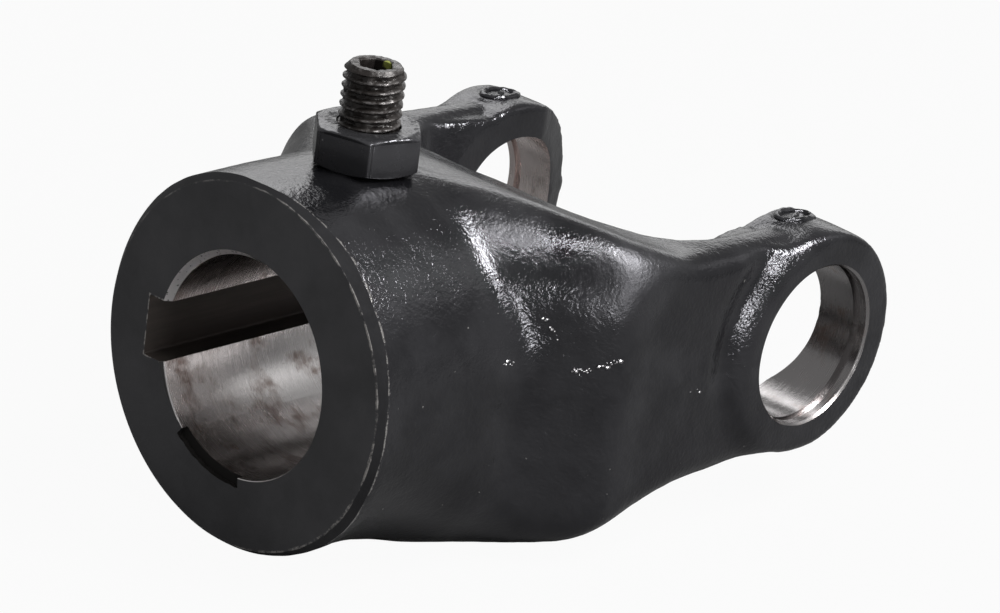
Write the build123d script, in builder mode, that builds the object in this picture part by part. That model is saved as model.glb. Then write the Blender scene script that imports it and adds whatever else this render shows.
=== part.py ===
"""Forged end yoke of a tractor driveline, with its set screw and lock nut.

Millimetres, +Z up. The origin is the centre of the shaft bore, in the plane of
the hub's faced end. +Y runs along the shaft bore towards the two ears, +X along
the cross bore, and +Z along the set screw.
"""

import os

from build123d import *

os.makedirs("parts", exist_ok=True)

# Hub and shaft bore
hub_diameter = 60.0
lower_hub_shortfall = 1.2        # the lower die half is a little shallower
hub_edge_chamfer = 1.1           # radial size of the turned edge
hub_edge_chamfer_length = 1.4
bore_diameter = 35.0
bore_mouth_chamfer = 1.0         # radial size
bore_mouth_chamfer_length = 1.0
keyway_width = 10.0
keyway_depth = 3.3               # from the bore's wall, on the far ear's side

# Fork
crotch_distance = 57.0           # hub face to the bottom of the fork
crotch_radius = 20.0
cross_distance = 90.9            # hub face to the cross bore's axis
arm_outer = 38.6                 # half the width over the arms
arm_inner = 29.0                 # half the gap between the arms
fork_draft = 6.0                 # degrees, up and down from the parting plane
arm_inner_round = 1.5            # on the edges of the gap
arm_height = 19.2                # half the height of the upper side
lower_arm_height = 19.7
arm_corner = 4.0                 # radius of the arm's long outer edges
flare_start = 29.0               # where the sides leave the round hub
flare_end = 47.0
upper_taper_start = 26.0         # where the height starts to fall
upper_taper_end = 66.0
lower_taper_start = 24.0
lower_taper_end = 68.0
upper_corner_start = 27.0        # where the round section starts to turn square
upper_corner_end = 56.0
lower_corner_start = 8.0
lower_corner_end = 44.0

# Ears
ear_radius = 19.2
ear_outer = 40.4                 # half the width over the machined ear faces
ear_inner = 27.4                 # half the gap between the ears
ear_taper_start = 6.0            # past the cross bore, the inner face tapers
ear_end_taper = 5.2              # what the taper takes off at the ear's tip
ear_edge_chamfer = 0.7
ear_outer_ramp = 3.0             # how far the boss runs out on the arm's faces
ear_inner_ramp = 7.5
cross_bore_diameter = 27.0
cross_bore_chamfer = 0.4
ring_groove_spacing = 74.6       # between the inner walls of the two grooves
ring_groove_width = 1.4
ring_groove_depth = 1.0
flash_height = 0.8               # trimmed flash at the ends of the ears
flash_thickness = 1.8
flash_inset = 1.5                # how far the flash stops short of the ear faces
mark_length = 9.0                # plain raised mark on top of each ear
mark_width = 5.6
mark_rim = 1.3
mark_height = 0.8
mark_places = ((31.2, 1.4), (-34.2, 1.4))    # across the fork, past the cross bore

# Set screw and lock nut, both with a 10 mm thread
screw_distance = 22.35           # hub face to the screw's axis
screw_diameter = 9.9
screw_length = 25.0
screw_stand = 16.0               # how far it stands out of the hub's crown
screw_end_chamfer = 1.0
cup_diameter = 5.0
cup_depth = 1.2
socket_flats = 5.0
socket_depth = 5.0
thread_clearance = 0.05          # all round the screw
nut_flats = 16.0
nut_height = 6.4
nut_turn = 16.0                  # angle of one corner from +X, in degrees
nut_corner_chamfer = 0.9         # radial size at the corners
nut_corner_chamfer_height = 0.5
nut_mouth_chamfer = 0.6

station_count = 18               # sections from the hub face to the cross bore

hub_radius = hub_diameter / 2
lower_hub_height = hub_radius - lower_hub_shortfall
bore_radius = bore_diameter / 2
cross_bore_radius = cross_bore_diameter / 2
screw_radius = screw_diameter / 2
screw_top = hub_radius + screw_stand
hole_radius = screw_radius + thread_clearance
nut_corner_radius = nut_flats / 3**0.5
ear_crown = ear_radius - ear_edge_chamfer
reach = hub_diameter + cross_distance + ear_outer       # longer than any cut


def ease(value, start, end):
    """Go smoothly from 0 at start to 1 at end."""
    share = min(max((value - start) / (end - start), 0.0), 1.0)
    return share * share * (3 - 2 * share)


def blend(first, last, share):
    return first + (last - first) * share


def upper_height(y):
    arm = blend(hub_radius, arm_height, ease(y, upper_taper_start, upper_taper_end))
    ear = ease(y, upper_taper_end, cross_distance)
    return blend(arm, min(arm, ear_crown), ear)


def lower_height(y):
    arm = blend(lower_hub_height, lower_arm_height, ease(y, lower_taper_start, lower_taper_end))
    ear = ease(y, lower_taper_end, cross_distance)
    return blend(arm, min(arm, ear_crown), ear)


def bore_mouth(radius, size, length):
    """Half section of a chamfer cutter: radius across, depth along."""
    return [(0, -length), (radius + 2 * size, -length), (radius, length), (0, length)]


# Hub, shoulders and arms as one drop-forged bar
with BuildPart() as bar:
    for index in range(station_count + 1):
        station = cross_distance * index / station_count
        width = blend(hub_radius, arm_outer, ease(station, flare_start, flare_end))
        top, bottom = upper_height(station), lower_height(station)
        round_hub = lower_hub_height * 0.99
        upper_turn = ease(station, upper_corner_start, upper_corner_end)
        lower_turn = ease(station, lower_corner_start, lower_corner_end)
        with BuildSketch(Plane.XZ.offset(-station)):
            with Locations((0, -bottom)):
                Rectangle(2 * width, top + bottom, align=(Align.CENTER, Align.MIN))
            upper_corners = vertices().group_by(Axis.Y)[-1]
            fillet(upper_corners, blend(round_hub, arm_corner, upper_turn))
            lower_corners = vertices().group_by(Axis.Y)[0]
            fillet(lower_corners, blend(round_hub, arm_corner, lower_turn))
    loft()

# Gap between the arms, wider away from the parting plane
with BuildPart() as fork_gap:
    with BuildSketch(Plane.XY):
        with Locations((0, crotch_distance)):
            gap = Rectangle(2 * arm_inner, reach, align=(Align.CENTER, Align.MIN))
        fillet(gap.vertices().group_by(Axis.Y)[0], crotch_radius)
    extrude(amount=hub_diameter, taper=-fork_draft)
    mirror(about=Plane.XY)

# One ear: a round boss across the fork
cross_plane = Plane(origin=(0, cross_distance, 0), x_dir=(0, 1, 0), z_dir=(1, 0, 0))
with BuildPart() as ear:
    with BuildSketch(cross_plane.offset(ear_inner)):
        Circle(ear_radius)
    extrude(amount=ear_outer - ear_inner)
    chamfer(ear.edges().group_by(Axis.X)[-1], ear_edge_chamfer)

# What the taper at the ear's end takes off its inner face
with BuildPart() as end_taper:
    with BuildSketch(Plane.XY.offset(-reach)):
        with BuildLine():
            near, tip = cross_distance + ear_taper_start, cross_distance + ear_radius
            slope = ear_end_taper / (tip - near)
            Polyline(
                (ear_inner - slope * ear_radius, near - ear_radius),
                (ear_inner + slope * 2 * ear_radius, near + 2 * ear_radius),
                (0, near + 2 * ear_radius),
                (0, near - ear_radius),
                close=True,
            )
        make_face()
    extrude(amount=2 * reach)

# The boss runs out on both faces of the arm as a short cone
with BuildPart() as run_out:
    with BuildSketch(Plane.XY):
        with BuildLine():
            crown = cross_distance - ear_crown
            outer_foot = cross_distance - ear_radius - ear_outer_ramp
            inner_foot = cross_distance - ear_radius - ear_inner_ramp
            outer_side = [(ear_outer, cross_distance), (ear_outer, crown), (arm_outer - 1, outer_foot)]
            inner_side = [(arm_inner + 1, inner_foot), (ear_inner, crown), (ear_inner, cross_distance)]
            Polyline(outer_side + inner_side, close=True)
        make_face()
    revolve(axis=Axis((0, cross_distance, 0), (1, 0, 0)))
    with BuildSketch(Plane.YZ):
        with BuildLine():
            stops = [blend(inner_foot - 1, cross_distance, k / 4) for k in range(5)]
            top_edge = Spline([(y, upper_height(y) - ear_edge_chamfer) for y in stops])
            bottom_edge = Spline([(y, ear_edge_chamfer - lower_height(y)) for y in stops])
            Line(top_edge @ 0, bottom_edge @ 0)
            Line(top_edge @ 1, bottom_edge @ 1)
        make_face()
    extrude(amount=reach, both=True, mode=Mode.INTERSECT)

# Trimmed flash, standing out of the ear's end at the parting line
with BuildPart() as flash:
    with BuildSketch(Plane.XY.offset(-flash_thickness / 2)):
        with Locations((ear_outer - flash_inset, cross_distance)):
            Rectangle(
                ear_outer - flash_inset - ear_inner,
                ear_radius + flash_height,
                align=(Align.MAX, Align.MIN),
            )
    extrude(amount=flash_thickness)

# Plain raised oval rings, forged on top of the ears
with BuildPart() as marks:
    with BuildSketch(Plane.XY.offset(ear_radius / 2)):
        with Locations([(x, cross_distance + y) for x, y in mark_places]):
            Ellipse(mark_width / 2, mark_length / 2)
            Ellipse(mark_width / 2 - mark_rim, mark_length / 2 - mark_rim, mode=Mode.SUBTRACT)
    extrude(amount=ear_radius)
    with BuildSketch(cross_plane):
        Circle(ear_radius + mark_height)
    extrude(amount=reach, both=True, mode=Mode.INTERSECT)

# The bar with its gap, and the round on the gap's upper and lower edges
with BuildPart() as fork:
    add(bar.part)
    add(fork_gap.part, mode=Mode.SUBTRACT)
    above_and_below = edges().filter_by(lambda e: abs(e.center().Z) > 0.75 * arm_height)
    along_gap = above_and_below.filter_by(
        lambda e: arm_corner < e.length < hub_diameter
        and crotch_distance - crotch_radius < e.center().Y < cross_distance - arm_corner
    )
    fillet(along_gap, arm_inner_round)

with BuildPart() as yoke_forging:
    add(fork.part)
    for piece in (ear.part, run_out.part, flash.part):
        add(piece)
        add(piece.mirror(Plane.YZ))
    for side in (end_taper.part, end_taper.part.mirror(Plane.YZ)):
        add(side, mode=Mode.SUBTRACT)
    add(marks.part)

    # Faced and chamfered end of the hub
    with BuildSketch(Plane.XY):
        with BuildLine():
            edge = hub_radius - hub_edge_chamfer
            slope = hub_edge_chamfer / hub_edge_chamfer_length
            ahead, behind = hub_edge_chamfer_length, 2 * hub_edge_chamfer_length
            outside = hub_radius + hub_diameter / 4
            Polyline(
                (edge - ahead * slope, -ahead),
                (edge + behind * slope, behind),
                (outside, behind),
                (outside, -ahead),
                close=True,
            )
        make_face()
    revolve(axis=Axis.Y, mode=Mode.SUBTRACT)

    # Shaft bore with the chamfer at its mouth, and the keyway
    with BuildSketch(Plane.XZ):
        Circle(bore_radius)
    extrude(amount=-crotch_distance - crotch_radius, mode=Mode.SUBTRACT)
    with BuildSketch(Plane.XY):
        with BuildLine():
            profile = bore_mouth(bore_radius, bore_mouth_chamfer, bore_mouth_chamfer_length)
            Polyline(profile, close=True)
        make_face()
    revolve(axis=Axis.Y, mode=Mode.SUBTRACT)
    with BuildSketch(Plane.XZ):
        Rectangle(bore_radius + keyway_depth, keyway_width, align=(Align.MAX, Align.CENTER))
    extrude(amount=-crotch_distance - crotch_radius, mode=Mode.SUBTRACT)

    # Bearing cup bores in line through both ears
    with BuildSketch(Plane.YZ):
        with Locations((cross_distance, 0)):
            Circle(cross_bore_radius)
    extrude(amount=reach, both=True, mode=Mode.SUBTRACT)
    for outward in (1, -1):
        with BuildSketch(Plane.XY):
            with BuildLine():
                profile = bore_mouth(cross_bore_radius, cross_bore_chamfer, cross_bore_chamfer)
                places = [(ear_outer - y, cross_distance + x) for x, y in profile]
                Polyline([(outward * x, y) for x, y in places], close=True)
            make_face()
        revolve(axis=Axis((0, cross_distance, 0), (1, 0, 0)), mode=Mode.SUBTRACT)
        groove_middle = outward * (ring_groove_spacing + ring_groove_width) / 2
        with BuildSketch(cross_plane.offset(groove_middle)):
            Circle(cross_bore_radius + ring_groove_depth)
        extrude(amount=ring_groove_width / 2, both=True, mode=Mode.SUBTRACT)

    # Tapped hole for the set screw, through the top wall
    with BuildSketch(Plane.XY):
        with Locations((0, screw_distance)):
            Circle(hole_radius)
    extrude(amount=reach, mode=Mode.SUBTRACT)

# Upright half-section plane through the screw's axis, seated on the hub's crown
screw_axis = Axis((0, screw_distance, 0), (0, 0, 1))
nut_plane = Plane(origin=(0, screw_distance, hub_radius), x_dir=(1, 0, 0), z_dir=(0, -1, 0))
screw_plane = Plane(origin=(0, screw_distance, screw_top), x_dir=(1, 0, 0), z_dir=(0, -1, 0))

# Hexagon nut, its corners turned off at both ends
with BuildPart() as lock_nut:
    with BuildSketch(Plane.XY.offset(hub_radius)):
        with Locations((0, screw_distance)):
            RegularPolygon(nut_corner_radius, 6, rotation=nut_turn)
    extrude(amount=nut_height)
    with BuildSketch(nut_plane):
        with BuildLine():
            flat = nut_corner_radius - nut_corner_chamfer
            low, high = nut_corner_chamfer_height, nut_height - nut_corner_chamfer_height
            mouth = hole_radius + nut_mouth_chamfer
            Polyline(
                (mouth, 0),
                (flat, 0),
                (nut_corner_radius, low),
                (nut_corner_radius, high),
                (flat, nut_height),
                (mouth, nut_height),
                (hole_radius, nut_height - nut_mouth_chamfer),
                (hole_radius, nut_mouth_chamfer),
                close=True,
            )
        make_face()
    revolve(axis=screw_axis, mode=Mode.INTERSECT)

# Socket set screw with a cup point, backed out clear of the bore
with BuildPart() as set_screw:
    with BuildSketch(screw_plane):
        with BuildLine():
            Polyline(
                (0, cup_depth - screw_length),
                (cup_diameter / 2, -screw_length),
                (screw_radius - screw_end_chamfer, -screw_length),
                (screw_radius, screw_end_chamfer - screw_length),
                (screw_radius, -screw_end_chamfer),
                (screw_radius - screw_end_chamfer, 0),
                (0, 0),
                close=True,
            )
        make_face()
    revolve(axis=screw_axis)
    with BuildSketch(Plane.XY.offset(screw_top)):
        with Locations((0, screw_distance)):
            RegularPolygon(socket_flats / 3**0.5, 6, rotation=nut_turn)
    extrude(amount=-socket_depth, mode=Mode.SUBTRACT)

yoke_forging.part.label = "yoke_forging"
lock_nut.part.label = "lock_nut"
set_screw.part.label = "set_screw"

export_step(yoke_forging.part, "parts/yoke_forging.step")
export_step(lock_nut.part, "parts/lock_nut.step")
export_step(set_screw.part, "parts/set_screw.step")
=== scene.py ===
import math

import bmesh
import bpy
import numpy as np
from mathutils import Matrix, Vector, noise


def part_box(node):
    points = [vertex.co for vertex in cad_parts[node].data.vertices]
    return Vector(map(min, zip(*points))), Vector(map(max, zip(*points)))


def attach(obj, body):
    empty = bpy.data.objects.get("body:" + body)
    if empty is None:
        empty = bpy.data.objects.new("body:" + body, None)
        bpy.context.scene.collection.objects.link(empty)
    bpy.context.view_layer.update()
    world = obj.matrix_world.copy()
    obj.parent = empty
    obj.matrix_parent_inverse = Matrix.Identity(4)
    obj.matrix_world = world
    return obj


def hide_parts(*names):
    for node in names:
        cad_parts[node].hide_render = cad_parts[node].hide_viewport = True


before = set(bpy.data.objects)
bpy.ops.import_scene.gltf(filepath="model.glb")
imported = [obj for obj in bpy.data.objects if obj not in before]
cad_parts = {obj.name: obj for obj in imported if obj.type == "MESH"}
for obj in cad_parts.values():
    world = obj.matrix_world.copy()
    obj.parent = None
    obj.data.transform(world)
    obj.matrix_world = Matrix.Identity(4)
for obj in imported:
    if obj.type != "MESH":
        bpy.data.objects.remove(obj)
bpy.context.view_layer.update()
mm = 0.001
print("stage: frame loaded")


# Mesh helpers, shared by the pieces

def placeObject(name, data):
    piece = bpy.data.objects.new(name, data)
    bpy.context.scene.collection.objects.link(piece)
    return piece


def meshObject(name, points, faces):
    mesh = bpy.data.meshes.new(name)
    mesh.from_pydata([tuple(p) for p in points], [], faces)
    mesh.validate()
    piece = placeObject(name, mesh)
    recalcNormals(mesh)
    return piece


def recalcNormals(mesh):
    bm = bmesh.new()
    bm.from_mesh(mesh)
    bmesh.ops.recalc_face_normals(bm, faces=bm.faces)
    bm.to_mesh(mesh)
    bm.free()


def ringFaces(low, high, count):
    return [(low + i, low + (i + 1) % count, high + (i + 1) % count, high + i) for i in range(count)]


def ringStack(rings):
    # closed skin over a list of rings of equal length; the first and last are fanned to their middles
    count = len(rings[0])
    points = [p for ring in rings for p in ring]
    faces = []
    for level in range(len(rings) - 1):
        faces += ringFaces(level * count, (level + 1) * count, count)
    for level, turn in ((0, -1), (len(rings) - 1, 1)):
        middle = np.mean(np.array(rings[level]), axis=0)
        points.append(tuple(middle))
        start, tip = level * count, len(points) - 1
        for i in range(count):
            j = (i + 1) % count
            faces.append((start + i, start + j, tip)[::turn])
    return points, faces


def ringLoop(rings):
    # skin over rings that come back to the first one
    count = len(rings[0])
    faces = []
    for level in range(len(rings)):
        faces += ringFaces(level * count, (level + 1) % len(rings) * count, count)
    return [p for ring in rings for p in ring], faces


def turned(name, profile, axis, centre=(0, 0, 0), segments=256):
    # solid of revolution: profile holds (radius, place along the axis)
    rings = []
    for radius, along in profile:
        ring = []
        for i in range(segments):
            a = 2 * math.pi * i / segments
            across, up = max(radius, 1e-7) * math.cos(a), max(radius, 1e-7) * math.sin(a)
            if axis == "Y":
                p = (across, along, up)
            elif axis == "X":
                p = (along, across, up)
            else:
                p = (across, up, along)
            ring.append(tuple(c + q for c, q in zip(centre, p)))
        rings.append(ring)
    points, faces = ringStack(rings)
    return meshObject(name, points, faces)


def applyModifiers(piece):
    bpy.context.view_layer.update()
    evaluated = piece.evaluated_get(bpy.context.evaluated_depsgraph_get())
    mesh = bpy.data.meshes.new_from_object(evaluated)
    piece.modifiers.clear()
    old = piece.data
    piece.data = mesh
    bpy.data.meshes.remove(old)


def joined(name, pieces):
    # one object from several, their shells kept as they are
    bm = bmesh.new()
    for piece in pieces:
        bm.from_mesh(piece.data)
        bpy.data.objects.remove(piece)
    mesh = bpy.data.meshes.new(name)
    bm.to_mesh(mesh)
    bm.free()
    return placeObject(name, mesh)


def cutAway(piece, tool):
    cut = piece.modifiers.new("cut", "BOOLEAN")
    cut.operation = "DIFFERENCE"
    cut.solver = "MANIFOLD"
    cut.object = tool
    applyModifiers(piece)
    bpy.data.objects.remove(tool)


def readPoints(mesh):
    co = np.zeros(len(mesh.vertices) * 3, np.float32)
    mesh.vertices.foreach_get("co", co)
    return co.reshape(-1, 3)


def writePoints(mesh, points):
    mesh.vertices.foreach_set("co", points.astype(np.float32).ravel())
    mesh.update()


def smoothShade(mesh, angle):
    mesh.shade_smooth()
    mesh.set_sharp_from_angle(angle=math.radians(angle))


# Forged yoke: a rough forging, then the machining cuts

yoke = {
    "voxel": 0.62 * mm,
    "quickVoxel": 1.1 * mm,
    "softening": 7,             # smoothing passes over the forged skin
    "quickSoftening": 3,
    "relaxing": 12,             # smoothing passes over the rolled edges
    "quickRelaxing": 4,
    "hubRadius": 30 * mm,
    "hubLowerHeight": 28.8 * mm,
    "boreRadius": 17.5 * mm,
    "keyHalfWidth": 5 * mm,
    "keyFloor": 20.8 * mm,
    "crotch": 57 * mm,          # hub face to the bottom of the fork
    "crotchRadius": 20 * mm,
    "gapHalf": 29 * mm,
    "draft": math.radians(6),
    "screwPlace": 22.35 * mm,
    "screwHoleRadius": 5 * mm,
    "cross": 90.9 * mm,         # hub face to the cross bore's axis
    "crossRadius": 13.5 * mm,
    "ringRadius": 14.5 * mm,    # snap ring groove
    "ringInner": 37.3 * mm,
    "ringOuter": 38.7 * mm,
    "earRadius": 19.2 * mm,
    "earOuter": 40.4 * mm,
    "earInner": 27.4 * mm,
    "earTaperStart": 6 * mm,
    "earTaper": 5.2 / 13.2,
    "smoothAngle": 32,
}


def crotchWall(x, z):
    # how far the drafted bottom of the fork is from the hub face
    lean = abs(z) * math.tan(yoke["draft"])
    middle = yoke["gapHalf"] - yoke["crotchRadius"]
    if abs(x) <= middle:
        return yoke["crotch"] - lean
    radius = yoke["crotchRadius"] + lean
    reach = min(abs(x) - middle, radius)
    return yoke["crotch"] + yoke["crotchRadius"] - math.sqrt(radius ** 2 - reach ** 2)


def earWall(y):
    past = max(0.0, y - yoke["cross"] - yoke["earTaperStart"])
    return yoke["earInner"] + past * yoke["earTaper"]


plug = {                        # stock that fills the CAD solid's bores
    "front": -3 * mm,           # it stands out of the hub's face
    "inset": 0.1 * mm,          # and stays this far inside the fork's walls
    "boreGrow": 1.3 * mm,
    "keyX": (-22.5 * mm, -10 * mm),
    "keyHalf": 6.5 * mm,
    "hubBack": 3 * mm,
    "hubRound": 0.99,           # corner radius of the hub's section, for its lower height
    "earRadius": 14.2 * mm,
    "ringRadius": 15.3 * mm,
    "ringStart": 36.4 * mm,
    "screwRadius": 5.6 * mm,
    "screwHeights": (16 * mm, 29.7 * mm),
    "steps": 128,
}


def makePlugs():
    # the skin can be roughened over them before the bores are cut
    plugs = []
    turns = [2 * math.pi * i / plug["steps"] for i in range(plug["steps"])]

    radius = yoke["boreRadius"] + plug["boreGrow"]
    boreOutline = [(radius * math.cos(a), radius * math.sin(a)) for a in turns]
    (x0, x1), half = plug["keyX"], plug["keyHalf"]
    keyOutline = [(x0, -half), (x1, -half), (x1, half), (x0, half)]
    for name, outline in (("borePlug", boreOutline), ("keyPlug", keyOutline)):
        front = [(x, plug["front"], z) for x, z in outline]
        back = [(x, crotchWall(x, z) - plug["inset"], z) for x, z in outline]
        plugs.append(meshObject(name, *ringStack([front, back])))

    # the hub's section carried on past its face, a rounded rectangle as forged
    corner = plug["hubRound"] * yoke["hubLowerHeight"]
    outline = []
    for a in turns:
        right, upper = math.cos(a) >= 0, math.sin(a) >= 0
        top = yoke["hubRadius"] if upper else -yoke["hubLowerHeight"]
        cx = (yoke["hubRadius"] - corner) * (1 if right else -1)
        cz = top - corner * (1 if upper else -1)
        outline.append((cx + corner * math.cos(a), cz + corner * math.sin(a)))
    ends = [[(x, y, z) for x, z in outline] for y in (plug["front"], plug["hubBack"])]
    plugs.append(meshObject("hubPlug", *ringStack(ends)))

    start, face = plug["ringStart"], yoke["earOuter"]
    for side in (1, -1):
        rings = []
        for reach, radius in ((None, plug["earRadius"]), (start, plug["earRadius"]),
                              (start, plug["ringRadius"]), (face, plug["ringRadius"])):
            ring = []
            for a in turns:
                y = yoke["cross"] + radius * math.cos(a)
                x = earWall(y) + plug["inset"] if reach is None else reach
                ring.append((side * x, y, radius * math.sin(a)))
            rings.append(ring)
        plugs.append(meshObject("earPlug", *ringStack(rings)))

    profile = [(plug["screwRadius"], height) for height in plug["screwHeights"]]
    plugs.append(turned("screwPlug", profile, "Z", (0, yoke["screwPlace"], 0), 64))
    return plugs


skin = {                        # a pair is where a change of form begins and where it is full
    "shoulderLead": 3.0 * mm,   # how much sooner the shoulder leaves the hub near the top
    "leadHeights": (9 * mm, 21 * mm),
    "leadStart": (21 * mm, 30 * mm),
    "leadStop": (43 * mm, 33 * mm),
    "faceFall": 1.1 * mm,       # drop of the ear's face towards the arm
    "fallTurn": (-0.05, 0.5),
    "fallStart": (15.6 * mm, 19.4 * mm),
    "fallStop": (25 * mm, 20.5 * mm),
    "fallHeights": (-9 * mm, 2 * mm),
    "fallAcross": (33 * mm, 39 * mm),
    "rollReach": 4.5 * mm,
    "rollFull": 0.4,            # share of that reach which is smoothed in full
    # x, y, z in mm: the shoulder's upper edge, and where the ear's pad leaves the arm
    "rolledEdges": [
        [(17, 33, 27), (24, 41.5, 25.9), (29, 44.5, 24.7), (32, 47, 23.2)],
        [(38.6, 72.5, 17), (38.6, 70.6, 9.6), (38.6, 69.4, 3.8), (38.6, 68.6, -1.5), (38.6, 69, -9)],
    ],
    "rimReach": (16 * mm, 18 * mm),     # the edge round the ear's face
    "rimAcross": (35 * mm, 38 * mm),
    "rimStop": 12 * mm,
    "lumpHeight": 0.16 * mm,    # die wear and scale
    "lumpSpan": 9 * mm,
    "peelHeight": 0.05 * mm,    # coarse orange peel
    "peelSpan": 2.4 * mm,
    "seamHeight": 0.22 * mm,    # trimmed flash along the parting plane
    "seamHalfWidth": 0.55 * mm,
    "seamSpan": 3.5 * mm,
    "seamShare": 0.25,
    "spill": 5 * mm,            # what the roughened skin may stand out, for the cuts to take off
}

mark = {                        # plain raised oval left by the die on top of each ear, with a short bar in it
    "places": [(31.2 * mm, 1.4 * mm), (-34.2 * mm, 1.4 * mm)],      # across the fork, past the cross bore
    "halfWidth": 2.15 * mm,
    "halfLength": 3.85 * mm,
    "rim": 0.62 * mm,
    "steps": 90,
    "barStart": (0.9, -1.7),    # mm from the oval's middle
    "barRun": (-1.5, 3.2),
    "barSteps": 24,
    "barShare": 0.85,           # how thick the bar is for the rim
    "barTaper": 0.35,
    "sides": 14,
    "lump": 0.35,
    "lumpSpan": 1.3 * mm,
    "sink": 0.12 * mm,
    "rise": 1.05,
    "clearWidth": 4.6 * mm,     # the remeshed marks are taken down in here
    "clearLength": 6.4 * mm,
    "clearHeight": 15 * mm,
}

flash = {                       # remains of the trimmed flash: bright beads in short runs along the arms
    "runs": [                   # side, first (y, z) and last (y, z) in mm, beads
        (1, (26.8, 6.1), (28.9, 5.6), 6), (1, (33.8, 12.4), (35.6, 9.8), 6),
        (1, (37.8, 4.3), (40.2, 4.5), 14), (1, (41.2, 5.2), (44.6, 6.1), 14),
        (1, (62.5, -2.7), (64.8, -2.5), 3), (-1, (31.0, 2.0), (33.0, 1.5), 7),
        (-1, (44.0, 1.0), (49.0, 1.6), 14), (-1, (66.0, 0.5), (68.0, 0.2), 5),
    ],
    "scatter": 0.6,             # along the run, in steps
    "wander": 1.1,              # up and down, in mm
    "smallest": 0.08,
    "spread": 0.42,
    "stretch": (0.6, 1.4, 0.8),
    "lump": 0.5,
    "outside": 60 * mm,         # where the search for the skin starts
}


def fade(value, low, high):
    # 0 at low, 1 at high, eased
    share = np.clip((value - low) / (high - low), 0, 1)
    return share * share * (3 - 2 * share)


def relax(mesh, weights, passes):
    # smooths the skin only where the weights say
    edges = np.zeros(len(mesh.edges) * 2, np.int32)
    mesh.edges.foreach_get("vertices", edges)
    a, b = edges.reshape(-1, 2).T
    points = readPoints(mesh).astype(float)
    count = len(points)
    links = np.bincount(a, minlength=count) + np.bincount(b, minlength=count)
    for _ in range(passes):
        total = np.stack([np.bincount(a, points[b, k], count) + np.bincount(b, points[a, k], count)
                          for k in range(3)], axis=1)
        points += 0.5 * weights[:, None] * (total / links[:, None] - points)
    writePoints(mesh, points)


def shapeSkin(mesh, passes):
    # the forged form: where the shoulder leaves the hub, its rolled upper edge, and the ear's soft face
    points = readPoints(mesh)
    x, y, z = points.T
    side = np.sign(x)
    fromCross = np.maximum(np.hypot(y - yoke["cross"], z), 1e-6)

    # the shoulder leaves the hub sooner near the top
    early = fade(z, *skin["leadHeights"]) * fade(y, *skin["leadStart"]) * fade(y, *skin["leadStop"])
    points[:, 1] -= skin["shoulderLead"] * early

    # the ear's face falls away towards the arm
    towardsArm = fade((yoke["cross"] - y) / fromCross, *skin["fallTurn"])
    fall = fade(fromCross, *skin["fallStart"]) * fade(fromCross, *skin["fallStop"]) * towardsArm
    fall *= fade(z, *skin["fallHeights"]) * fade(np.abs(x), *skin["fallAcross"])
    points[:, 0] -= side * skin["faceFall"] * fall

    # the remeshed marks are taken down, because makeMark gives them again in full
    for markX, markY in mark["places"]:
        close = (np.abs(x - markX) < mark["clearWidth"]) & (z > mark["clearHeight"])
        close &= np.abs(y - yoke["cross"] - markY) < mark["clearLength"]
        high = close & (y > yoke["cross"]) & (fromCross > yoke["earRadius"])
        points[high, 1] = yoke["cross"] + (y - yoke["cross"])[high] * (yoke["earRadius"] / fromCross[high])
        points[high, 2] = z[high] * (yoke["earRadius"] / fromCross[high])
        flat = close & (y <= yoke["cross"])
        points[flat, 2] = np.minimum(z[flat], yoke["earRadius"])
    writePoints(mesh, points)

    # rolled edge between the upper side and the shoulder
    x, y, z = points.T
    beside = np.stack((np.abs(x), y, z), axis=1)
    nearest = np.full(len(points), 1.0)
    for edge in skin["rolledEdges"]:
        edge = np.array(edge) * mm
        for start, stop in zip(edge[:-1], edge[1:]):
            run = stop - start
            share = np.clip((beside - start) @ run / (run @ run), 0, 1)
            nearest = np.minimum(nearest, np.linalg.norm(beside - start - share[:, None] * run, axis=1))
    weights = fade(nearest, skin["rollReach"], skin["rollReach"] * skin["rollFull"])

    # and the edge round the ear's face
    fromCross = np.hypot(y - yoke["cross"], z)
    rim = fade(fromCross, *skin["rimReach"]) * fade(np.abs(x), *skin["rimAcross"])
    rim *= fade(y, yoke["cross"] + skin["rimStop"], yoke["cross"])
    relax(mesh, np.maximum(weights, rim), passes)


def makeMark(markX, markY):
    turns = [2 * math.pi * i / mark["steps"] for i in range(mark["steps"])]
    oval = [(markX + mark["halfWidth"] * math.cos(a), markY + mark["halfLength"] * math.sin(a))
            for a in turns]
    (startX, startY), (runX, runY) = mark["barStart"], mark["barRun"]
    bar = [(markX + (startX + runX * t) * mm, markY + (startY + runY * t) * mm)
           for t in np.linspace(0, 1, mark["barSteps"])]
    beads = []
    for path, closed, half in ((oval, True, mark["rim"]), (bar, False, mark["rim"] * mark["barShare"])):
        rings = []
        for i, (px, py) in enumerate(path):
            before = path[i - 1] if closed or i else path[0]
            after = path[(i + 1) % len(path)] if closed or i < len(path) - 1 else path[-1]
            dx, dy = after[0] - before[0], after[1] - before[1]
            length = math.hypot(dx, dy)
            across = Vector((dy / length, -dx / length, 0))
            lean = min(max(py / yoke["earRadius"], 0.0), 1.0)
            upward = Vector((0, lean, math.sqrt(1 - lean * lean)))
            taper = 1.0 if closed else math.sin(math.pi * (i + 0.6) / len(path)) ** mark["barTaper"]
            ring = []
            for k in range(mark["sides"]):
                a = 2 * math.pi * k / mark["sides"]
                lump = noise.noise(Vector((px, py, a * mm)) / mark["lumpSpan"])
                reach = half * taper * (1 + mark["lump"] * lump)
                foot = Vector((px, py + yoke["cross"], 0)) + across * reach * math.cos(a)
                onEar = max(foot.y - yoke["cross"], 0.0)
                foot.z = math.sqrt(yoke["earRadius"] ** 2 - onEar ** 2) - mark["sink"]
                ring.append(tuple(foot + upward * reach * mark["rise"] * math.sin(a)))
            rings.append(ring)
        beads.append(meshObject("mark", *(ringLoop(rings) if closed else ringStack(rings))))
    return beads


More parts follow.
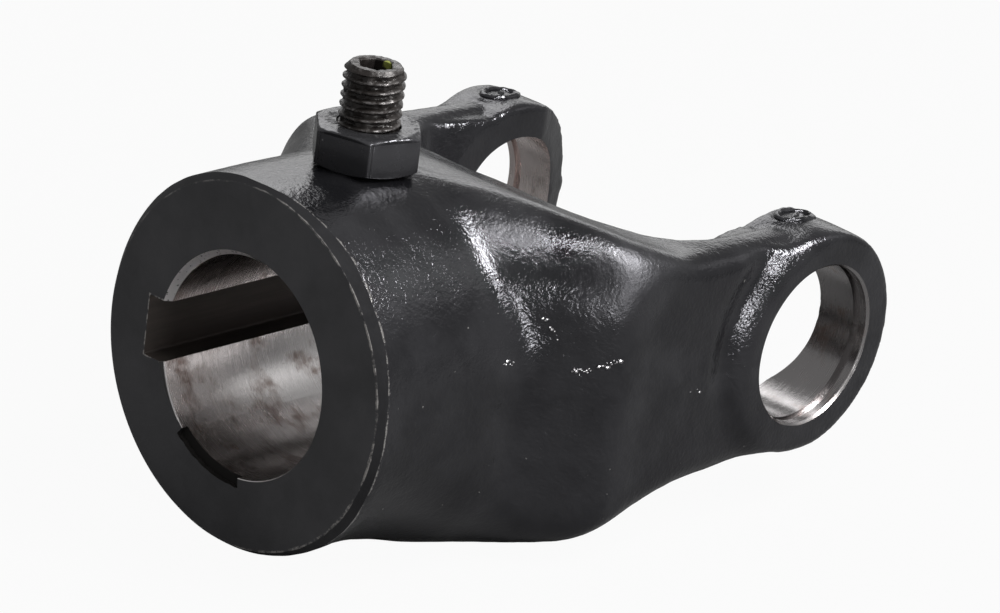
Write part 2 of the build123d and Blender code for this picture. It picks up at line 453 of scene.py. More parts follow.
def makeFlash(piece):
    beads = []
    for run, (side, start, stop, count) in enumerate(flash["runs"]):
        for step in range(count):
            astray = flash["scatter"] * noise.noise(Vector((run, step * 1.7, 0.4)))
            share = (step + astray) / max(count - 1, 1)
            wander = flash["wander"] * noise.noise(Vector((step * 1.3, run, 7)))
            y = (start[0] + (stop[0] - start[0]) * share) * mm
            z = (start[1] + (stop[1] - start[1]) * share + wander) * mm
            hit, place, _, _ = piece.ray_cast(Vector((side * flash["outside"], y, z)), Vector((-side, 0, 0)))
            if not hit:
                continue
            grown = flash["spread"] * abs(noise.noise(Vector((step * 2.7, run, 2.5))))
            size = (flash["smallest"] + grown) * mm
            bm = bmesh.new()
            bmesh.ops.create_icosphere(bm, subdivisions=2, radius=1)
            for vertex in bm.verts:
                rough = 1 + flash["lump"] * noise.noise(vertex.co * 1.3 + Vector((step, run, 0)))
                stretched = Vector([c * s for c, s in zip(vertex.co, flash["stretch"])])
                vertex.co = stretched * size * rough + place
            mesh = bpy.data.meshes.new("flash")
            bm.to_mesh(mesh)
            bm.free()
            beads.append(placeObject("flash", mesh))
    return beads


def roughenSkin(mesh):
    points = readPoints(mesh)
    normals = np.zeros(len(mesh.vertices) * 3, np.float32)
    mesh.vertex_normals.foreach_get("vector", normals)
    normals = normals.reshape(-1, 3)
    shift = np.zeros(len(points))
    for i, p in enumerate(points):
        place = Vector(p)
        lump = noise.noise(place / skin["lumpSpan"])
        peel = noise.noise(place / skin["peelSpan"] + Vector((7, 3, 5)))
        seam = max(0.0, noise.noise(place / skin["seamSpan"] + Vector((1, 8, 2))) + skin["seamShare"])
        level = (p[2] / skin["seamHalfWidth"]) ** 2
        sideways = max(0.0, 1 - abs(normals[i][2]) * 2)
        ridge = seam * math.exp(-level) * sideways if level < 12 else 0.0
        shift[i] = lump * skin["lumpHeight"] + peel * skin["peelHeight"] + ridge * skin["seamHeight"]
    points = points + normals * shift[:, None]
    writePoints(mesh, points)


def keepInside(mesh, lowest, highest):
    points = readPoints(mesh)
    writePoints(mesh, np.clip(points, np.array(lowest), np.array(highest)))


cuts = {                        # the machining tools; depths are measured from the hub's face
    "before": -8 * mm,          # where a turning tool starts
    "faceClear": 6 * mm,        # how far the facing tool reaches past the hub
    "boreBreak": 0.12 * mm,     # broken edge of the bore
    "backStart": 1.4 * mm,      # where the bore widens, short of the crotch
    "backWiden": 1.8 * mm,
    "backRun": 3.7 * mm,
    "backEnd": 10 * mm,
    # the bore's turned mouth, off centre: wide at the upper left, gone at the lower right
    "mouthRadius": 17.85 * mm,
    "mouthRight": -0.4 * mm,
    "mouthUp": 0.65 * mm,
    "mouthFall": 1.2 * mm,
    "mouthDepth": 1.7 * mm,
    "mouthEnd": 1.8 * mm,
    "rimRadius": 29.0 * mm,     # turned rim of the hub's face, a little off the forging's centre
    "rimSlope": 0.9,            # how much the rim's cone widens for each mm of depth
    "rimRight": 0.09 * mm,
    "rimUp": 0.34 * mm,
    "rimDepth": 6 * mm,
    "rimClear": 8 * mm,
    "rimStep": 0.25 * mm,
    "rimFront": -0.1 * mm,
    "dentStart": -128,          # knocked edge at the lower left of the bore's mouth, in degrees
    "dentSweep": 45,
    "dentSteps": 24,
    "dentInner": 16.9 * mm,
    "dentOuter": 19.1 * mm,
    "dentRagged": 0.25 * mm,
    "dentFront": -1 * mm,
    "dentDepths": (0.9 * mm, 1.25 * mm),
    "keyInner": -2 * mm,
    "keyFillet": 0.35 * mm,
    "keyRun": (-5 * mm, 70 * mm),
    "earBreak": 0.4 * mm,
    "earClear": (28 * mm, 6 * mm),
    "screwRun": (10 * mm, 40 * mm),
}


def boreTool():
    radius, wide, before = yoke["boreRadius"], yoke["hubRadius"] + cuts["faceClear"], cuts["before"]
    back = yoke["crotch"] - cuts["backStart"]
    widened, end = radius + cuts["backWiden"], back + cuts["backEnd"]
    profile = [(0, before), (wide, before), (wide, 0.0), (radius + cuts["boreBreak"], 0.0),
               (radius, cuts["boreBreak"]), (radius, back), (widened, back + cuts["backRun"]),
               (widened, end), (0, end)]
    return turned("boreTool", profile, "Y", segments=320)


def mouthTool():
    start, before, depth = cuts["mouthRadius"], cuts["before"], cuts["mouthDepth"]
    profile = [(0, before), (start, before), (start, 0.0), (start - cuts["mouthFall"], depth),
               (0, cuts["mouthEnd"])]
    return turned("mouthTool", profile, "Y", (cuts["mouthRight"], 0, cuts["mouthUp"]), 288)


def rimTool():
    start, before, depth = cuts["rimRadius"], cuts["before"], cuts["rimDepth"]
    wide = yoke["hubRadius"] + cuts["rimClear"]
    profile = [(0, before), (wide, before), (wide, depth), (start + depth * cuts["rimSlope"], depth),
               (start, 0.0), (start - cuts["rimStep"], cuts["rimFront"]), (0, cuts["rimFront"])]
    return turned("rimTool", profile, "Y", (cuts["rimRight"], 0, cuts["rimUp"]), 288)


def dentTool():
    rings = []
    inner, front = cuts["dentInner"], cuts["dentFront"]
    outerDepth, innerDepth = cuts["dentDepths"]
    for step in range(cuts["dentSteps"] + 1):
        a = math.radians(cuts["dentStart"] + cuts["dentSweep"] * step / cuts["dentSteps"])
        outer = cuts["dentOuter"] + cuts["dentRagged"] * noise.noise(Vector((step * 0.5, 0, 0)))
        section = ((inner, front), (outer, front), (outer, outerDepth), (inner, innerDepth))
        rings.append([(radius * math.cos(a), depth, radius * math.sin(a)) for radius, depth in section])
    return meshObject("dentTool", *ringStack(rings))


def keyTool():
    floor, inner = -yoke["keyFloor"], cuts["keyInner"]
    half, fillet = yoke["keyHalfWidth"], cuts["keyFillet"]
    section = [(inner, -half), (inner, half)]
    for step in range(5):
        a = math.pi / 2 * (1 + step / 4)
        section.append((floor + fillet + fillet * math.cos(a), half - fillet + fillet * math.sin(a)))
    for step in range(5):
        a = math.pi * (1 + step / 8)
        section.append((floor + fillet + fillet * math.cos(a), fillet - half + fillet * math.sin(a)))
    ends = [[(x, y, z) for x, z in section] for y in cuts["keyRun"]]
    return meshObject("keyTool", *ringStack(ends))


def crossTool():
    radius, ring = yoke["crossRadius"], yoke["ringRadius"]
    inner, outer, face = yoke["ringInner"], yoke["ringOuter"], yoke["earOuter"]
    soft, (wide, past) = cuts["earBreak"], cuts["earClear"]
    half = [(radius, inner), (ring, inner), (ring, outer), (radius, outer), (radius, face - soft),
            (radius + soft, face), (wide, face), (wide, face + past), (0, face + past)]
    profile = [(r, -x) for r, x in half[::-1]] + half
    return turned("crossTool", profile, "X", (0, yoke["cross"], 0), 288)


def holeTool():
    profile = [(yoke["screwHoleRadius"], height) for height in cuts["screwRun"]]
    return turned("holeTool", profile, "Z", (0, yoke["screwPlace"], 0), 96)


def makeYoke():
    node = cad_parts["yoke_forging"]
    lowest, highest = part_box("yoke_forging")
    piece = joined("yokeForging", [placeObject("stock", node.data.copy())] + makePlugs())
    remesh = piece.modifiers.new("skin", "REMESH")
    remesh.mode = "VOXEL"
    remesh.voxel_size = yoke["voxel"]
    soften = piece.modifiers.new("soften", "SMOOTH")
    soften.factor = 0.5
    soften.iterations = yoke["softening"]
    applyModifiers(piece)
    piece.data.materials.clear()
    shapeSkin(piece.data, yoke["relaxing"])
    roughenSkin(piece.data)
    spill = skin["spill"]
    keepInside(piece.data, (lowest.x - spill, lowest.y - spill, lowest.z), highest + Vector((spill, 0, 0)))
    for makeTool in (boreTool, mouthTool, rimTool, dentTool, keyTool, crossTool, holeTool):
        cutAway(piece, makeTool())
    marks = [bead for place in mark["places"] for bead in makeMark(*place)]
    beads = makeFlash(piece)
    flashFaces = sum(len(bead.data.polygons) for bead in beads)
    piece = joined("yokeForging", [piece] + marks + beads)
    keepInside(piece.data, lowest, highest)
    smoothShade(piece.data, yoke["smoothAngle"])
    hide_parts("yoke_forging")
    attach(piece, "root")
    return piece, flashFaces


sorting = {                     # how far from its tool's surface a face may lie, and where each cut ends
    "near": 0.03 * mm,
    "boreEnd": 3 * mm,
    "mouthDepth": 1.55 * mm,
    "mouthReach": 1.3 * mm,
    "keyStart": -16.6 * mm,
    "keyFloorReach": 0.4 * mm,
    "dentDepth": 1.3 * mm,
    "dentReach": (17.6 * mm, 19.6 * mm),
    "dentRim": 18.6 * mm,
    "dentTop": -11 * mm,
    "dentRight": 3 * mm,
}


def sortYokeFaces(piece, flashFaces, finishes):
    # a finish for each face, from where the tools cut
    mesh = piece.data
    mesh.materials.clear()
    for finish in finishes.values():
        mesh.materials.append(finish)
    order = list(finishes)
    count = len(mesh.polygons)
    centres = np.zeros(count * 3, np.float32)
    normals = np.zeros(count * 3, np.float32)
    mesh.polygons.foreach_get("center", centres)
    mesh.polygons.foreach_get("normal", normals)
    x, y, z = centres.reshape(-1, 3).T
    nx, ny, nz = normals.reshape(-1, 3).T
    near = sorting["near"]
    fromShaft = np.hypot(x, z)
    fromCross = np.hypot(y - yoke["cross"], z)
    index = np.full(count, order.index("forged"), np.int32)

    fromRim = np.hypot(x - cuts["rimRight"], z - cuts["rimUp"]) - cuts["rimRadius"]
    onRim = (np.abs(y - fromRim / cuts["rimSlope"]) < near) & (fromRim > -near)
    index[y < near] = order.index("faced")
    index[onRim & (y > near)] = order.index("rim")

    inward = (nx * x + nz * z) < 0
    bore = inward & (fromShaft < yoke["boreRadius"] + near) & (y < yoke["crotch"] + sorting["boreEnd"])
    mouth = (y > near) & (y < sorting["mouthDepth"])
    mouth &= fromShaft < yoke["boreRadius"] + sorting["mouthReach"]
    index[bore | mouth] = order.index("bore")

    key = (np.abs(z) < yoke["keyHalfWidth"] + near) & (x < sorting["keyStart"])
    key &= x > -yoke["keyFloor"] - near
    onSide = np.abs(np.abs(z) - yoke["keyHalfWidth"]) < near * 3
    onFloor = x < -yoke["keyFloor"] + sorting["keyFloorReach"]
    index[key & (onSide | onFloor) & (y > near) & (y < yoke["crotch"])] = order.index("key")

    inner, outer = sorting["dentReach"]
    dent = (y > near) & (y < sorting["dentDepth"]) & (fromShaft > inner) & (fromShaft < outer)
    dent &= (z < sorting["dentTop"]) & (x < sorting["dentRight"])
    index[dent & ((ny < -0.9) | (fromShaft > sorting["dentRim"]))] = order.index("dent")

    ear = (fromCross < yoke["ringRadius"] + near) & (np.abs(x) > yoke["earInner"] - near)
    beside = np.abs(x) < yoke["earOuter"] - near
    radial = ((y - yoke["cross"]) * ny + z * nz) < -0.5 * fromCross
    groove = (np.abs(x) > yoke["ringInner"] - near) & (np.abs(x) < yoke["ringOuter"] + near)
    index[ear & beside & (radial | groove)] = order.index("crossBore")
    index[count - flashFaces:] = order.index("bare")
    mesh.polygons.foreach_set("material_index", index)
    mesh.update()


# Lock nut: a hexagon turned off to a cone at both ends

nut = {
    "flats": 16 * mm,
    "height": 6.4 * mm,
    "seat": 30 * mm,
    "turn": math.radians(16),
    "cornerRound": 0.45 * mm,
    "crownRadius": 7.75 * mm,   # where the cone meets the flat end
    "coneSlope": math.tan(math.radians(24)),
    "edgeRound": 0.16 * mm,
    "edgeShare": 0.3,           # the middle of that rounding
    "mouthRadius": 5.08 * mm,
    "holeRadius": 5.02 * mm,
    "seatMouth": 0.5 * mm,      # depth of the hole's mouth, below and on top
    "topMouth": 0.7 * mm,
    "segments": 288,
}


def hexRadius(angle, halfFlats, cornerRound):
    turn = angle % (math.pi / 3)
    flat = halfFlats / math.cos(turn - math.pi / 6)
    fromCorner = min(turn, math.pi / 3 - turn)
    centre = (halfFlats - cornerRound) / math.cos(math.pi / 6)
    across = centre * math.sin(fromCorner)
    if across >= cornerRound:
        return flat
    return min(flat, centre * math.cos(fromCorner) + math.sqrt(cornerRound ** 2 - across ** 2))


def makeNut():
    half, seat = nut["flats"] / 2, nut["seat"]
    turns = [2 * math.pi * i / nut["segments"] for i in range(nut["segments"])]

    def ring(rule):
        points = []
        for a in turns:
            radius, z = rule(hexRadius(a - nut["turn"], half, nut["cornerRound"]))
            points.append((radius * math.cos(a), yoke["screwPlace"] + radius * math.sin(a), z))
        return points

    def drop(radius):
        return max(0.0, radius - nut["crownRadius"]) * nut["coneSlope"]

    soft, softer = nut["edgeRound"], nut["edgeRound"] * nut["edgeShare"]
    top, crown, mouth = seat + nut["height"], nut["crownRadius"], nut["mouthRadius"]
    rings = [
        ring(lambda r: (nut["holeRadius"], seat + nut["seatMouth"])),
        ring(lambda r: (mouth, seat)),
        ring(lambda r: (crown, seat)),
        ring(lambda r: (r - soft, seat + drop(r - soft))),
        ring(lambda r: (r - softer, seat + drop(r) + softer)),
        ring(lambda r: (r, seat + drop(r) + soft)),
        ring(lambda r: (r, top - drop(r) - soft)),
        ring(lambda r: (r - softer, top - drop(r) - softer)),
        ring(lambda r: (r - soft, top - drop(r - soft))),
        ring(lambda r: (crown + 0.1 * mm, top - 0.03 * mm)),    # soft step on to the flat top
        ring(lambda r: (crown - 0.25 * mm, top)),
        ring(lambda r: (mouth + 0.15 * mm, top)),
        ring(lambda r: (mouth, top - 0.05 * mm)),
        ring(lambda r: (nut["holeRadius"], top - nut["topMouth"])),
    ]
    piece = meshObject("lockNut", *ringLoop(rings))
    smoothShade(piece.data, 40)
    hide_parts("lock_nut")
    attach(piece, "root")
    return piece


# Set screw: the real thread, a worn top and its hexagon socket

screw = {
    "top": 46 * mm,
    "length": 25 * mm,
    "crest": 4.92 * mm,
    "root": 4.12 * mm,
    "pitch": 1.5 * mm,
    "crestShare": 0.14,
    "rootShare": 0.76,
    "endRadius": 3.95 * mm,
    "endSlope": 0.9,
    "cupRadius": 2.5 * mm,
    "cupDepth": 1.2 * mm,
    "cupTip": 0.05,             # share of the cup's radius left flat at its bottom
    "socketFlats": 5 * mm,
    "socketDepth": 5 * mm,
    "socketRound": 0.15 * mm,
    "socketEdge": 0.22 * mm,
    "socketRows": 8,
    "tipRadius": 0.1 * mm,      # drilled point below the socket
    "tipDepth": 1.1 * mm,
    "wear": 0.1 * mm,           # bruised crests
    "wearSpan": 1.1 * mm,
    "clogSpan": 1.7 * mm,       # paint run into the grooves
    "clogShare": 0.1,
    "clogDepth": 0.75 * mm,
    "bruiseReach": 0.5 * mm,    # bruised top, where the key has turned it
    "bruiseSpan": 0.8 * mm,
    "bruiseDepth": 0.16 * mm,
    "segments": 144,
    "rowsPerTurn": 14,
}


def threadRadius(angle, z):
    phase = (z / screw["pitch"] - angle / (2 * math.pi)) % 1
    away = abs(phase - 0.5) * 2
    share = (away - screw["crestShare"]) / (screw["rootShare"] - screw["crestShare"])
    share = min(max(share, 0.0), 1.0)
    return screw["crest"] + (screw["root"] - screw["crest"]) * share


def makeScrew():
    turns = [2 * math.pi * i / screw["segments"] for i in range(screw["segments"])]
    top, bottom = screw["top"], screw["top"] - screw["length"]
    rows = int(screw["length"] / screw["pitch"] * screw["rowsPerTurn"])

    def place(a, radius, z):
        return (radius * math.cos(a), yoke["screwPlace"] + radius * math.sin(a), z)

    def ring(radii, z):
        return [place(a, radius, z) for a, radius in zip(turns, radii)]

    def roundRing(radius, z):
        return ring([radius] * len(turns), z)

    rings = [roundRing(screw["cupRadius"] * screw["cupTip"], bottom + screw["cupDepth"]),
             roundRing(screw["cupRadius"], bottom)]
    for row in range(rows + 1):
        z = bottom + screw["length"] * row / rows
        cone = screw["endRadius"] + min(top - z, z - bottom) * screw["endSlope"]
        radii = []
        for a in turns:
            spot = Vector(place(a, 5 * mm, z))
            radius = threadRadius(a, z) - max(0.0, noise.noise(spot / screw["wearSpan"])) * screw["wear"]
            clog = noise.noise(spot / screw["clogSpan"]) + screw["clogShare"]
            radius = max(radius, screw["root"] + max(0.0, clog) * screw["clogDepth"])
            radii.append(min(radius, cone))
        rings.append(ring(radii, z))

    # the top's edge, then the socket
    hexes = [hexRadius(a - nut["turn"], screw["socketFlats"] / 2, screw["socketRound"]) for a in turns]
    rings.append(roundRing(screw["endRadius"] - 0.35 * mm, top))
    rings.append(ring([r + 0.3 * mm for r in hexes], top - 0.02 * mm))
    edge, depth, count = screw["socketEdge"], screw["socketDepth"], screw["socketRows"]
    for step in range(count + 1):
        rings.append(ring(hexes, top - edge - (depth - edge) * step / count))
    rings.append(roundRing(screw["tipRadius"], top - depth - screw["tipDepth"]))
    piece = meshObject("setScrew", *ringStack(rings))

    points = readPoints(piece.data)
    for i, p in enumerate(points):
        if p[2] > top - screw["bruiseReach"]:
            dent = max(0.0, noise.noise(Vector(p) / screw["bruiseSpan"]))
            points[i][2] -= dent * screw["bruiseDepth"]
    writePoints(piece.data, points)
    smoothShade(piece.data, 38)
    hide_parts("set_screw")
    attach(piece, "root")
    return piece


# Node helpers for the finishes. A noise is given as span, detail, roughness and shift, and a range as the two
# values that come in and, where they aren't 0 and 1, the two that go out.

socketNames = {"colour": "Base Color", "metal": "Metallic", "rough": "Roughness", "normal": "Normal",
               "level": "Specular IOR Level"}


def feed(socket, value):
    # a number or a colour is set on the socket, and a node's output is linked to it
    if isinstance(value, (int, float)):
        socket.default_value = value
    elif isinstance(value, tuple):
        socket.default_value = (*value, 1.0)
    else:
        socket.id_data.links.new(value, socket)


def newFinish(name, painted=False):
    finish = bpy.data.materials.new(name)
    finish.use_nodes = True
    tree = finish.node_tree
    shader = tree.nodes["Principled BSDF"]
    if painted:
        shader.inputs["IOR"].default_value = paint["gloss"]
        shader.inputs["Specular Tint"].default_value = (*paint["sheen"], 1.0)
    return finish, tree, shader


def dress(shader, **values):
    for key, value in values.items():
        feed(shader.inputs[socketNames[key]], value)


def addNode(tree, kind, **values):
    node = tree.nodes.new(kind)
    for key, value in values.items():
        setattr(node, key, value)
    return node


def objectPlace(tree):
    return addNode(tree, "ShaderNodeTexCoord").outputs["Object"]


def addNoise(place, span, detail, roughness, shift=0.0, stretch=(1, 1, 1)):
    # noise whose features are about span metres across
    mapping = addNode(place.id_data, "ShaderNodeMapping")
    mapping.inputs["Scale"].default_value = [1 / (span * s) for s in stretch]
    mapping.inputs["Location"].default_value = (shift, shift * 0.7, shift * 1.3)
    feed(mapping.inputs["Vector"], place)
    node = addNode(place.id_data, "ShaderNodeTexNoise")
    for key, value in (("Scale", 1.0), ("Detail", detail), ("Roughness", roughness),
                       ("Vector", mapping.outputs[0])):
        feed(node.inputs[key], value)
    return node.outputs["Fac"]


def addMath(operation, *values):
    tree = next(value.id_data for value in values if not isinstance(value, (int, float)))     # of a socket
    node = addNode(tree, "ShaderNodeMath", operation=operation)
    for socket, value in zip(node.inputs, values):
        feed(socket, value)
    return node.outputs[0]


def times(first, *others):
    for other in others:
        first = addMath("MULTIPLY", first, other)
    return first


def plus(first, second):
    return addMath("ADD", first, second)


def minus(first, second):
    return addMath("SUBTRACT", first, second)


def larger(first, second):
    return addMath("MAXIMUM", first, second)


def fromAxis(across, up):
    return addMath("SQRT", plus(times(across, across), times(up, up)))


def fromPoint(place, point):
    node = addNode(place.id_data, "ShaderNodeVectorMath", operation="DISTANCE")
    feed(node.inputs[0], place)
    node.inputs[1].default_value = point
    return node.outputs["Value"]


def addRange(value, low, high, outLow=0.0, outHigh=1.0, smooth=True):
    node = addNode(value.id_data, "ShaderNodeMapRange")
    node.interpolation_type = "SMOOTHSTEP" if smooth else "LINEAR"
    for key, number in (("Value", value), ("From Min", low), ("From Max", high), ("To Min", outLow),
                        ("To Max", outHigh)):
        feed(node.inputs[key], number)
    return node.outputs["Result"]


def addMix(share, first, second):
    node = addNode(share.id_data, "ShaderNodeMix", data_type="RGBA")
    for socket, value in ((node.inputs[0], share), (node.inputs[6], first), (node.inputs[7], second)):
        feed(socket, value)
    return node.outputs[2]


def addBump(height, distance, normal=None):
    node = addNode(height.id_data, "ShaderNodeBump")
    for key, value in (("Strength", 1.0), ("Distance", distance), ("Height", height), ("Normal", normal)):
        if value is not None:
            feed(node.inputs[key], value)
    return node.outputs["Normal"]


def splitPlace(place):
    node = addNode(place.id_data, "ShaderNodeSeparateXYZ")
    feed(node.inputs[0], place)
    return node.outputs[0], node.outputs[1], node.outputs[2]


def spread(place, values, key):
    # the noise of that name, brought into its range
    return addRange(addNoise(place, *values[key]), *values[key + "Range"])


def grainy(place, values, key, normal=None):
    # the noise of that name as a bump
    return addBump(addNoise(place, *values[key]), values[key + "Height"], normal)


# Finishes of the yoke

paint = {                       # black paint over the forged skin
    "colour": (0.0045, 0.0045, 0.0052),
    "dusty": (0.0125, 0.0125, 0.0137),
    "speck": (0.12, 0.118, 0.112),
    "steel": (0.52, 0.50, 0.48),        # where it is rubbed through
    "gloss": 1.6,                       # index of refraction of the dried film
    "sheen": (0.95, 0.94, 1.0),
    "grain": (0.72 * mm, 3.0, 0.55),
    "grainHeight": 0.105 * mm,
    "fine": (0.34 * mm, 2.0, 0.5, 5.0),
    "fineHeight": 0.026 * mm,
    "dust": (16 * mm, 4.0, 0.6, 9.0),
    "dustRange": (0.38, 0.66),
    "specks": (0.9 * mm, 1.0, 0.5, 14.0),
    "specksRange": (0.79, 0.84),
    "gleam": (5 * mm, 4.0, 0.6, 2.0),
    "gleamRange": (0.3, 0.7, 0.085, 0.16),
    "ragged": (4 * mm, 4.0, 0.6, 27.0),
    "raggedReach": 14 * mm,
    # where the paint on a shoulder is rubbed dull: centre, reach and added roughness
    "dullSpots": [
        ((36.8 * mm, 46 * mm, 18.5 * mm), 13 * mm, 0.30),
        ((22.5 * mm, 33 * mm, 24 * mm), 9 * mm, 0.22),
    ],
}

faced = {                       # paint over a turned face, with the tool's rings just showing
    "dark": (0.038, 0.038, 0.0395),
    "light": (0.056, 0.056, 0.0585),
    "level": 0.5,
    "rimDark": (0.008, 0.008, 0.0085),
    "rimLight": (0.016, 0.016, 0.017),
    "rimLevel": 0.3,
    "fine": (0.5 * mm, 3.0, 0.5),
    "fineHeight": 0.014 * mm,
    "slow": (3 * mm, 3.0, 0.5, 4.0),
    "slowHeight": 0.05 * mm,
    "dust": (14 * mm, 4.0, 0.6, 6.0),
    "dustRange": (0.35, 0.7),
    "gleam": (4 * mm, 4.0, 0.6, 1.0),
    "gleamRange": (0.3, 0.7, 0.42, 0.54),
}

worn = {                        # thin broken lines of bare metal on the edges of the rim and the keyway
    "wander": (1.6 * mm, 3.0, 0.6, 6.2),
    "drift": 0.7 * mm,
    "innerDrift": 0.35,
    "innerRadius": 28.95 * mm,
    "innerHalf": 0.16 * mm,
    "innerFull": 0.35,          # share of the line's half width at full strength
    "innerDepth": (0.5 * mm, 0.3 * mm),
    "outerStart": (0.02 * mm, 0.06 * mm),       # behind the rim's cone
    "outerStop": (0.42 * mm, 0.22 * mm),
    "outerRadius": (28 * mm, 28.6 * mm),
    "outerAcross": (4 * mm, 12 * mm),
    "breaks": (3 * mm, 6.0, 0.8, 3.1),
    "breaksRange": (0.44, 0.62),
    "across": (-6 * mm, 14 * mm, 0.35, 1.0),    # most of it is on the right
    "keyReach": (0.30 * mm, 0.12 * mm),
    "keyAcross": (-16 * mm, -17 * mm),
    "chips": (1.5 * mm, 4.0, 0.7, 23.0),
    "chipsRange": (0.44, 0.56),
}


def rimWear(place):
    x, y, z = splitPlace(place)
    radius = fromAxis(minus(x, cuts["rimRight"]), minus(z, cuts["rimUp"]))
    wander = addNoise(place, *worn["wander"])
    drift = times(minus(wander, 0.5), worn["drift"])
    fromLine = minus(plus(radius, times(drift, worn["innerDrift"])), worn["innerRadius"])
    inner = addRange(addMath("ABSOLUTE", fromLine), worn["innerHalf"],
                     worn["innerHalf"] * worn["innerFull"])
    inner = times(inner, addRange(y, *worn["innerDepth"]))
    # how far a point lies behind the rim's cone
    cone = times(minus(radius, cuts["rimRadius"]), 1 / cuts["rimSlope"])
    behind = minus(y, cone)
    outer = times(addRange(behind, *worn["outerStart"]),
                  addRange(plus(behind, drift), *worn["outerStop"]),
                  addRange(radius, *worn["outerRadius"]),
                  addRange(x, *worn["outerAcross"]))
    broken = spread(place, worn, "breaks")
    return times(larger(inner, outer), broken, addRange(x, *worn["across"]))


def keyWear(place):
    x, _, z = splitPlace(place)
    fromSide = minus(addMath("ABSOLUTE", z), yoke["keyHalfWidth"])
    fromFloor = minus(times(x, -1.0), yoke["keyFloor"])
    edge = addRange(larger(fromSide, fromFloor), *worn["keyReach"])
    chips = spread(place, worn, "chips")
    return times(edge, chips, addRange(x, *worn["keyAcross"]))


def forgedPaint():
    finish, tree, shader = newFinish("blackPaintForged", painted=True)
    place = objectPlace(tree)
    normal = grainy(place, paint, "fine")
    normal = grainy(place, paint, "grain", normal)
    dust = spread(place, paint, "dust")
    colour = addMix(dust, paint["colour"], paint["dusty"])
    specks = spread(place, paint, "specks")
    colour = addMix(specks, colour, paint["speck"])
    bare = rimWear(place)
    colour = addMix(bare, colour, paint["steel"])
    rough = spread(place, paint, "gleam")
    ragged = minus(addNoise(place, *paint["ragged"]), 0.5)
    for centre, reach, rise in paint["dullSpots"]:
        away = fromPoint(place, centre)
        away = addMath("MULTIPLY_ADD", ragged, paint["raggedReach"], away)
        rough = plus(rough, addRange(away, reach, 0.0, 0.0, rise))
    dress(shader, colour=colour, metal=bare, rough=rough, normal=normal)
    return finish


def facedPaint(name, dark, light, level):
    finish, tree, shader = newFinish(name, painted=True)
    place = objectPlace(tree)
    normal = grainy(place, faced, "fine")
    normal = grainy(place, faced, "slow", normal)
    dust = spread(place, faced, "dust")
    colour = addMix(dust, dark, light)
    bare = larger(rimWear(place), keyWear(place))
    colour = addMix(bare, colour, paint["steel"])
    rough = spread(place, faced, "gleam")
    dress(shader, colour=colour, metal=bare, rough=rough, normal=normal, level=level)
    return finish


steel = {
    # painted light: one bored steel, set light in the shaft bore and the far ear's bore and dark in the near
    # ear's bore, for how light falls on each
    "shaftBore": (0.88, 0.85, 0.845),
    "crossBore": (0.38, 0.365, 0.365),
    "farCrossBoreLit": (0.82, 0.74, 0.72),
    "mouth": (0.80, 0.78, 0.78),
    "brown": (0.34, 0.27, 0.245),
    # painted shade: darkening on the upper side, deep in the shaft bore
    "paintedShade": (0.060, 0.050, 0.045),
    "rings": (2.2 * mm, 3.0, 0.6, 0.0),         # the boring tool's fine rings
    "ringStretch": {"X": (0.06, 40, 40), "Y": (40, 0.06, 40)},
    "ringHeight": 0.015 * mm,
    "pits": (0.6 * mm, 3.0, 0.6, 8.0),
    "pitsHeight": 0.012 * mm,
    "stains": (6 * mm, 5.0, 0.65, 3.0),
    "stainRange": {"X": (0.34 - 0.1, 0.34 + 0.14), "Y": (0.39 - 0.1, 0.39 + 0.14)},
    "gleamRange": {"X": (0.62, 0.38, 0.14, 0.30), "Y": (0.62, 0.38, 0.16, 0.30)},
    "shadeWay": (-0.42, 0.91),                  # x and z of the way to the painted shade, darker on the upper side deep in the shaft bore
    "shadeRange": (0.72, 0.92),
    "shadeWander": 0.2,
    "shadeDepth": (42 * mm, 36 * mm),
    "farAcross": (1 * mm, -1 * mm),
    "mouthWay": (-0.68, 0.73),                  # the bore's mouth is bare this way, and painted elsewhere
    "mouthRange": (0.82, 0.72),
    "mouthRadius": (17.56 * mm, 17.68 * mm),
    "mouthRough": 0.5,
    "wander": (1.4 * mm, 4.0, 0.65, 12.0),
    "wanderShare": 0.35,
    "mouthSpecks": (0.7 * mm, 2.0, 0.6, 17.0),
    "mouthSpecksRange": (0.60, 0.68),
}


def along(way, x, z):
    return plus(times(x, way[0]), times(z, way[1]))


def mouthPaint(place):
    # how far a point of the bore is painted, and how far it is on the turned mouth
    x, _, z = splitPlace(place)
    radius = fromAxis(x, z)
    facing = addMath("DIVIDE", along(steel["mouthWay"], x, z), radius)
    wander = addNoise(place, *steel["wander"])
    facing = plus(facing, times(minus(wander, 0.5), steel["wanderShare"]))
    painted = addRange(facing, *steel["mouthRange"])
    specks = spread(place, steel, "mouthSpecks")
    onMouth = addRange(radius, *steel["mouthRadius"])
    return times(larger(painted, specks), onMouth), onMouth


